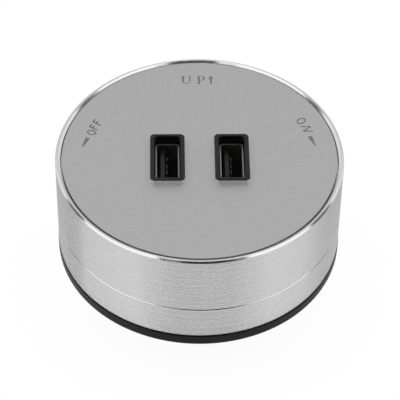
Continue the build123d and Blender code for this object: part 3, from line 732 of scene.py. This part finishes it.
@dataclass
class FaceMarks:
    """UP, OFF and ON with their arrows, marked on the face plate by laser.

    Attributes:
        cap: Height of F and N.
        ring: Height of O.
        pen: Width of their strokes.
        tall: Height of the capitals in UP.
        thick: Width of the thick strokes in UP.
        thin: Width of the thin strokes in UP.
        hair: Width of its serifs.
        skin: How far the marking stands out of the face and goes into it.
    """

    cap: float = 2.5
    ring: float = 2.3
    pen: float = 0.36
    tall: float = 2.85
    thick: float = 0.44
    thin: float = 0.3
    hair: float = 0.16
    skin: float = 0.008

    def letter_f(self) -> list[Stroke]:
        """Make the strokes of a sans F, whose upper arm is a little longer than its middle arm.

        Returns:
            Its three strokes.
        """
        top, middle = self.cap - self.pen / 2, 0.56 * self.cap
        upper_arm, middle_arm = 1.1, 1.05
        return [
            line([(0, 0), (0, self.cap)], self.pen),
            line([(0, top), (upper_arm, top)], self.pen),
            line([(0, middle), (middle_arm, middle)], self.pen),
        ]

    def letter_o(self, width: float) -> list[Stroke]:
        """Make the one stroke of a sans O of a given width, centred on its foot."""
        half = (width / 2, (self.ring - self.pen) / 2)
        return [bow((0, 0), half, (0, 360), (self.pen, self.pen))]

    def letter_n(self, width: float) -> list[Stroke]:
        """Make the strokes of a sans N.

        Args:
            width: From the middle of one upright to the middle of the other.

        Returns:
            Its three strokes.
        """
        return [
            line([(0, 0), (0, self.cap)], self.pen),
            line([(0, self.cap), (width, 0)], self.pen),
            line([(width, 0), (width, self.cap)], self.pen),
        ]

    def letter_u(self) -> list[Stroke]:
        """Make the strokes of a U with serifs, thick on the left and thin on the right.

        Returns:
            Its two uprights, its two serifs and its round foot.
        """
        left, right, round_top, top = -0.83, 0.83, 0.85, self.tall - self.hair / 2
        left_serif, right_serif = (left - 0.33, left + 0.4), (right - 0.32, right + 0.3)
        foot, _ = bow((0, round_top), (right, round_top - self.thin / 2), (180, 360), (1, 1))
        return [
            line([(left, round_top), (left, self.tall)], self.thick),
            line([(right, round_top), (right, self.tall)], self.thin),
            line([(end, top) for end in left_serif], self.hair),
            line([(end, top) for end in right_serif], self.hair),
            (foot, np.linspace(self.thin, self.hair, len(foot))),
        ]

    def letter_p(self) -> list[Stroke]:
        """Make the strokes of a P with serifs.

        Returns:
            Its upright, its foot's serif, and the three parts of its bowl.
        """
        top, join, reach, bowl, serif = self.tall - self.hair / 2, 1.3, 0.72, 0.62, 0.36
        middle = (top + join) / 2
        return [
            line([(0, 0), (0, self.tall)], self.thick),
            line([(-serif, self.hair / 2), (serif, self.hair / 2)], self.hair),
            line([(-serif, top), (reach, top)], self.hair),
            bow((reach, middle), (bowl, top - middle), (90, -90), (self.hair, self.thick)),
            line([(0, join), (reach, join)], self.hair),
        ]

    def words(self) -> dict[str, list[Letter]]:
        """Lay out the three lines of marking, each where the photograph shows it.

        An arrow is given by its own points on the face, as a letter at the face's centre.

        Returns:
            Letters by the name of their piece.
        """
        up_arrow = line([(3.24, 25.7), (3.24, 27.4), (3.24, 27.4), (3.24, 28.75)], 0.48, 0.48, 1.35, 0.02)
        off_arrow = line([(-27.23, 6.5), (-28.48, 3.3)], 1.15, 0.22)
        on_arrow = line([(27.09, 6.75), (28.36, 3.45)], 1.1, 0.22)
        return {
            "mark_up": [
                Letter((-2.92, 25.72), 0, 90, self.letter_u()),
                Letter((0.2, 25.72), 0, 90, self.letter_p()),
                Letter((0, 0), 0, 90, [up_arrow]),
            ],
            "mark_off": [
                Letter((-26.34, 8.4), 100, 176, self.letter_o(1.45)),
                Letter((-24.94, 9.12), 62, 144, self.letter_f()),
                Letter((-24.12, 10.78), 60, 145, self.letter_f()),
                Letter((0, 0), 0, 90, [off_arrow]),
            ],
            "mark_on": [
                Letter((25.25, 12.2), -104, 4, self.letter_o(1.85)),
                Letter((24.94, 10.24), -68.5, -1.5, self.letter_n(1.7)),
                Letter((0, 0), 0, 90, [on_arrow]),
            ],
        }

    def piece(self, name: str, letters: list[Letter], face: float) -> bpy.types.Object:
        """Carry a flat rectangle along every stroke of a word, and close its ends.

        Corner = path point + or - half the width across the path, at the two levels of the skin.

        Args:
            name: Name of the piece.
            letters: The letters of the word.
            face: Level of the face, in millimetres.

        Returns:
            The object.
        """
        points, faces, count = [], [], 0
        for letter, (path, widths) in ((letter, stroke) for letter in letters for stroke in letter.strokes):
            path = letter.place(path)
            along = np.gradient(path, axis=0)
            along = along / np.linalg.norm(along, axis=1, keepdims=True)
            across = np.stack([-along[:, 1], along[:, 0]], axis=1) * widths[:, None] / 2
            left, right = path + across, path - across
            flat = np.stack([left, right, right, left], axis=1)
            level = face + self.skin * np.array([1, 1, -1, -1])
            place = np.concatenate([flat, np.broadcast_to(level[:, None], (len(path), 4, 1))], axis=2)
            closed = np.allclose(path[0], path[-1])
            place = place[:-1] if closed else place
            rows = len(place)
            faces += (grid_faces(rows, 4, closed, True) + count).tolist()
            if not closed:
                last = count + 4 * (rows - 1)
                faces += [[count + 3, count + 2, count + 1, count], [last, last + 1, last + 2, last + 3]]
            points.append(place.reshape(-1, 3))
            count += 4 * rows
        return new_piece(name, np.concatenate(points), faces)

    def build(self, kit: Kit) -> None:
        """Make the three lines of marking.

        Args:
            kit: Frame and materials.
        """
        face = levels("face_plate")[1]
        for name, letters in self.words().items():
            kit.add(self.piece(name, letters, face), [LASERED], Body.HEAD, "blasted_aluminium")


@dataclass
class Receptacles:
    """The two USB-A sockets: trim, insert, shell, insulator and contacts."""

    def build(self, kit: Kit) -> None:
        """Dress the pieces of both sockets.

        Args:
            kit: Frame and materials.
        """
        for hand in Hand:
            kit.dress(PLATED, f"socket_trim_{hand.value}")
            kit.dress(INSERT_ABS, f"socket_insert_{hand.value}", f"usb_insulator_{hand.value}")
            kit.dress(NICKEL_STEEL, f"usb_shell_{hand.value}")
            kit.dress(TINNED_BRONZE, f"usb_contacts_{hand.value}")


@dataclass
class Head:
    """The rest of the head: face plate, floor, key and what holds them together."""

    def build(self, kit: Kit) -> None:
        """Dress the pieces of the head.

        Args:
            kit: Frame and materials.
        """
        kit.dress(BLASTED, "face_plate")
        kit.dress(BARE_ALUMINIUM, "plate_studs")
        kit.dress(GLASS_NYLON, "rotor", "key_body", "key_cap")
        kit.dress(ZINC, "head_screws", "key_screws", "cap_screws")
        kit.dress(BRONZE, "line_contact", "neutral_contact")


@dataclass
class Base:
    """The base in the track: shell, pad, bearing and detent."""

    def build(self, kit: Kit) -> None:
        """Dress the pieces of the base.

        Args:
            kit: Frame and materials.
        """
        kit.dress(BLACK_ABS, "base_shell")
        kit.dress(RUBBER, "friction_pad")
        kit.dress(GLASS_NYLON, "bearing_plate")
        kit.dress(ACETAL, "thrust_washer")
        kit.dress(ZINC, "base_screws")
        kit.dress(BALL_STEEL, "detent_balls")
        kit.dress(SPRING_WIRE, "detent_springs")


@dataclass
class PowerSupply:
    """The board inside the head, with its components."""

    def build(self, kit: Kit) -> None:
        """Dress the board and its components.

        Args:
            kit: Frame and materials.
        """
        kit.dress(SOLDER_MASK, "power_board")
        kit.dress(FERRITE, "transformer_core")
        kit.dress(PHENOLIC, "transformer_bobbin")
        kit.dress(TAPE, "transformer_winding")
        kit.dress(SLEEVE, "bulk_capacitor")
        kit.dress(CAN, "output_capacitors")
        kit.dress(EPOXY_DIP, "safety_capacitor")
        kit.dress(SHRINK_TUBE, "choke")
        kit.dress(FUSE_CAP, "fuse")
        kit.dress(CHIP_EPOXY, "bridge_rectifier", "control_chips")


# Studio


@dataclass
class View:
    """The camera, at the photograph's angle.

    Attributes:
        azimuth: Camera's place round the object, in degrees from -Y towards -X.
        elevation: Camera's height over the lip's centre, in degrees.
        distance: From the lip's centre to the camera, in millimetres.
        pitch: How far the camera looks down, in degrees.
        yaw: How far it looks aside, in degrees.
        roll: How far it is rolled, in degrees.
        lens: Focal length, in millimetres.
        sensor: Width of the sensor, in millimetres.
        nearest: Distance from which the camera sees, in metres.
    """

    azimuth: float = 1.5
    elevation: float = 45.014
    distance: float = 504.9
    pitch: float = 46.238
    yaw: float = -0.042
    roll: float = 0.908
    lens: float = 187.5
    sensor: float = 36.0
    nearest: float = 0.01

    def build(self) -> None:
        """Place the camera on a sphere round the lip's centre, and aim it by pitch, yaw and roll."""
        angles = (self.elevation, self.pitch, self.yaw, self.roll)
        elevation, pitch, yaw, roll = (math.radians(angle) for angle in angles)
        place = self.distance * Vector((0, -math.cos(elevation), math.sin(elevation)))
        back = Vector(
            (math.sin(yaw) * math.cos(pitch), -math.cos(yaw) * math.cos(pitch), math.sin(pitch))
        )
        right = Vector((0, 0, 1)).cross(back).normalized()
        above = back.cross(right)
        level, tilt = math.cos(roll), math.sin(roll)
        axes = Matrix((level * right + tilt * above, level * above - tilt * right, back)).transposed()
        turn = Matrix.Rotation(-math.radians(self.azimuth), 4, "Z")
        lip = Matrix.Translation((0, 0, levels("upper_ring")[1] * MM))
        data = bpy.data.cameras.new("camera")
        data.lens = self.lens
        data.sensor_width = self.sensor
        data.clip_start = self.nearest
        camera = bpy.data.objects.new("camera", data)
        camera.matrix_world = lip @ turn @ Matrix.Translation(place * MM) @ axes.to_4x4()
        bpy.context.scene.collection.objects.link(camera)
        bpy.context.scene.camera = camera
        log.info("camera: %.0f mm away", self.distance)


@dataclass
class Floor:
    """Pale round floor under the foot, which looks white and keeps the object's shadow.

    The camera sees it nearly white, and metal mirrors it darker, as the photograph shows both. The
    mirrored floor also glows, most in front of the foot and less towards the back.

    Attributes:
        radius: Radius of the floor, in metres.
        points: Points on its edge.
        paper: Colour that throws light on the object.
        seen: Colour that takes the shadow where the camera looks.
        seen_glow: Glow over that colour, which turns it white.
        mirrored: Colour that metal mirrors.
        front: Place along Y, in millimetres, up to which the mirrored glow is strongest.
        front_glow: Strength of the glow there.
        back: Place along Y, in millimetres, from which the mirrored glow is weakest.
        back_glow: Strength of the glow there.
    """

    radius: float = 3.0
    points: int = 96
    paper: str = "#e6e6e6"
    seen: str = "#4a4a4a"
    seen_glow: float = 0.95
    mirrored: str = "#b4b4b4"
    front: float = -34.0
    front_glow: float = 0.51
    back: float = 30.0
    back_glow: float = 0.22

    def glowing(
        self, tree: bpy.types.NodeTree, colour: str, strength: float | bpy.types.NodeSocket
    ) -> bpy.types.NodeSocket:
        """Add a matt surface that also glows.

        Args:
            tree: Node tree of the floor.
            colour: sRGB hex colour of the surface.
            strength: Strength of the glow.

        Returns:
            Output that gives the shader.
        """
        matt = add_node(tree, "ShaderNodeBsdfDiffuse", {"Color": linear(colour)})
        glow = add_node(tree, "ShaderNodeEmission", {"Strength": strength})
        return add_node(tree, "ShaderNodeAddShader", {0: matt.outputs[0], 1: glow.outputs[0]}).outputs[0]

    def material(self) -> bpy.types.Material:
        """Make the floor's material.

        Returns:
            The finished material.
        """
        material = bpy.data.materials.new("pale_floor")
        material.use_nodes = True
        tree = material.node_tree
        tree.nodes.clear()
        place = add_node(tree, "ShaderNodeTexCoord").outputs["Object"]
        axes = add_node(tree, "ShaderNodeSeparateXYZ", {"Vector": place})
        span = {"From Min": self.front * MM, "From Max": self.back * MM}
        span |= {"To Min": self.front_glow, "To Max": self.back_glow}
        fall = add_node(tree, "ShaderNodeMapRange", {"Value": axes.outputs["Y"], **span})
        plain = add_node(tree, "ShaderNodeBsdfDiffuse", {"Color": linear(self.paper)})
        mirrored = self.glowing(tree, self.mirrored, fall.outputs["Result"])
        seen = self.glowing(tree, self.seen, self.seen_glow)
        path = add_node(tree, "ShaderNodeLightPath").outputs
        glossy = add_node(
            tree,
            "ShaderNodeMath",
            {0: path["Is Glossy Ray"], 1: path["Is Transmission Ray"]},
            operation="MAXIMUM",
        )
        unseen = add_node(
            tree, "ShaderNodeMixShader", {0: glossy.outputs[0], 1: plain.outputs[0], 2: mirrored}
        )
        both = add_node(
            tree, "ShaderNodeMixShader", {0: path["Is Camera Ray"], 1: unseen.outputs[0], 2: seen}
        )
        add_node(tree, "ShaderNodeOutputMaterial", {"Surface": both.outputs[0]})
        return material

    def build(self) -> None:
        """Lay the floor as a flat disc at the object's lowest level."""
        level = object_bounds()[0][2]
        turn = np.linspace(0, math.tau, self.points, endpoint=False)
        edge = self.radius / MM * np.stack([np.cos(turn), np.sin(turn), 0 * turn], axis=1)
        edge[:, 2] = level / MM
        piece = new_piece("studio_floor", edge, [list(range(len(edge)))])
        piece.data.materials.append(self.material())
        piece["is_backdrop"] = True
        log.info("studio_floor: at %.1f mm", level / MM)


@dataclass(frozen=True)
class SkyRing:
    """Brightness round the sky at one height: even stretches, which fade into each other.

    Attributes:
        stretches: First and last azimuth of each stretch, in degrees, and its brightness.
        span: Heights between which the ring takes over from those below, as sines of the elevation.
    """

    stretches: list[tuple[float, float, float]]
    span: tuple[float, float] = (-1.0, -1.0)

    def brightness(self, tree: bpy.types.NodeTree, share: bpy.types.NodeSocket) -> bpy.types.NodeSocket:
        """Add the ring's brightness, as a ramp over the azimuth.

        Args:
            tree: Node tree of the world.
            share: Azimuth as a share of the full turn, where 0.5 is the camera's side.

        Returns:
            Output that gives the brightness.
        """
        node = add_node(tree, "ShaderNodeValToRGB", {"Fac": share})
        stops = [(place / 360 + 0.5, value) for *ends, value in self.stretches for place in ends]
        for place, _ in stops[1:-1]:
            node.color_ramp.elements.new(place)
        for element, (place, value) in zip(node.color_ramp.elements, stops, strict=True):
            element.position = place
            element.color = (value, value, value, 1)
        return node.outputs["Color"]


@dataclass
class Sky:
    """Soft light from all round, with a dark opening on the camera's side.

    From the opening, either way round, come a softbox, a flank and the back. Low down, a dark gap
    parts the softbox from the flank. Overhead all turn into one even ceiling. The camera sees white.

    Attributes:
        strength: Strength of the light.
        opening: Brightness of the opening.
        box: Brightness of the softboxes.
        back: Brightness of the back.
        low_gap: Brightness of the gaps in the lowest ring.
        gap: Brightness of the gaps in the ring above it.
        low_flank: Brightness of the flanks in the lowest ring.
        flank: Brightness of the flanks in the two rings above it.
        high_flank: Brightness of the flanks in the highest ring.
        ceiling: Brightness overhead.
        ceiling_span: Heights between which the ceiling takes over, as sines of the elevation.
    """

    strength: float = 2.0
    opening: float = 0.01
    box: float = 0.54
    back: float = 0.31
    low_gap: float = 0.08
    gap: float = 0.03
    low_flank: float = 0.42
    flank: float = 0.46
    high_flank: float = 0.3
    ceiling: float = 0.9
    ceiling_span: tuple[float, float] = (0.93, 0.98)

    def rings(self) -> list[SkyRing]:
        """Lay out the four rings, in degrees of azimuth from the camera's side to its right.

        Returns:
            The rings, from the lowest up.
        """
        box, opening = self.box, (-29, 36, self.opening)
        left, right = (-180, -160, self.back), (160, 180, self.back)
        low = [left, (-148, -108, self.low_flank), (-104, -90, self.low_gap), (-86, -31, box), opening]
        low += [(38, 84, box), (88, 104, self.low_gap), (108, 148, self.low_flank), right]
        middle = [left, (-148, -108, self.flank), (-104, -90, self.gap), (-88, -31, box), opening]
        middle += [(38, 86, box), (88, 104, self.gap), (108, 148, self.flank), right]
        raised = [left, (-148, -92, self.flank), (-90, -31, box), opening]
        raised += [(38, 88, box), (90, 148, self.flank), right]
        high = [left, (-148, -90, self.high_flank), (-86, -18, box), (-13, 28, self.opening)]
        high += [(33, 84, box), (88, 148, self.high_flank), right]
        return [
            SkyRing(low),
            SkyRing(middle, (0.36, 0.42)),
            SkyRing(raised, (0.59, 0.63)),
            SkyRing(high, (0.715, 0.745)),
        ]

    def blend(
        self,
        tree: bpy.types.NodeTree,
        height: bpy.types.NodeSocket,
        span: tuple[float, float],
        below: bpy.types.NodeSocket,
        above: bpy.types.NodeSocket | tuple[float, float, float, float],
    ) -> bpy.types.NodeSocket:
        """Mix two brightnesses by how far up the direction points.

        Args:
            tree: Node tree of the world.
            height: Direction's upward share, which is the sine of its elevation.
            span: Heights up to which only the first counts, and from which only the second does.
            below: The first brightness.
            above: The second brightness.

        Returns:
            Output that gives the mix.
        """
        share = add_node(
            tree,
            "ShaderNodeMapRange",
            {"Value": height, "From Min": span[0], "From Max": span[1]},
            interpolation_type="SMOOTHSTEP",
        )
        inputs = {"Factor": share.outputs["Result"], MIX_FIRST: below, MIX_SECOND: above}
        return add_node(tree, "ShaderNodeMix", inputs, data_type="RGBA").outputs[MIX_RESULT]

    def build(self, facing: float) -> None:
        """Light the world, with the opening on the camera's side.

        Args:
            facing: Camera's place round the object, in degrees from -Y towards -X.
        """
        world = bpy.data.worlds.new("studio")
        bpy.context.scene.world = world
        world.use_nodes = True
        tree = world.node_tree
        tree.nodes.clear()
        way = add_node(tree, "ShaderNodeTexCoord").outputs["Generated"]
        aim = {"Vector": way, "Rotation": (0, 0, math.radians(facing))}
        turned = add_node(tree, "ShaderNodeMapping", aim).outputs["Vector"]
        axes = add_node(tree, "ShaderNodeSeparateXYZ", {"Vector": turned}).outputs
        front = add_node(tree, "ShaderNodeMath", {0: axes["Y"], 1: -1.0}, operation="MULTIPLY").outputs[0]
        azimuth = add_node(tree, "ShaderNodeMath", {0: axes["X"], 1: front}, operation="ARCTAN2").outputs[0]
        full_turn = {"Value": azimuth, "From Min": -math.pi, "From Max": math.pi}
        share = add_node(tree, "ShaderNodeMapRange", full_turn).outputs["Result"]
        lowest, *higher = self.rings()
        sky = lowest.brightness(tree, share)
        for ring in higher:
            sky = self.blend(tree, axes["Z"], ring.span, sky, ring.brightness(tree, share))
        even = (self.ceiling, self.ceiling, self.ceiling, 1)
        sky = self.blend(tree, axes["Z"], self.ceiling_span, sky, even)
        lit = add_node(tree, "ShaderNodeBackground", {"Color": sky, "Strength": self.strength})
        white = add_node(tree, "ShaderNodeBackground", {"Color": (1, 1, 1, 1), "Strength": 1.0})
        seen = add_node(tree, "ShaderNodeLightPath").outputs["Is Camera Ray"]
        both = add_node(tree, "ShaderNodeMixShader", {0: seen, 1: lit.outputs[0], 2: white.outputs[0]})
        add_node(tree, "ShaderNodeOutputWorld", {"Surface": both.outputs[0]})
        log.info("studio: light from %d rings and the ceiling", len(higher) + 1)


@dataclass
class Studio:
    """What stands round the object.

    Attributes:
        view: The camera.
        floor: The floor.
        sky: The light.
    """

    view: View = field(default_factory=View)
    floor: Floor = field(default_factory=Floor)
    sky: Sky = field(default_factory=Sky)

    def build(self) -> None:
        """Set up the camera, the floor and the light."""
        bpy.context.scene.view_settings.view_transform = "Standard"
        self.view.build()
        self.floor.build()
        self.sky.build(self.view.azimuth)


def main() -> None:
    """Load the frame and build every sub-assembly in order."""
    logging.basicConfig(level=logging.INFO, format="%(name)s: %(message)s")
    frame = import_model()
    kit = Kit(frame["nodes"])
    TurnedRings().build(kit)
    Head().build(kit)
    FaceMarks().build(kit)
    Receptacles().build(kit)
    Base().build(kit)
    PowerSupply().build(kit)
    Studio().build()


if __name__ == "__main__":
    main()
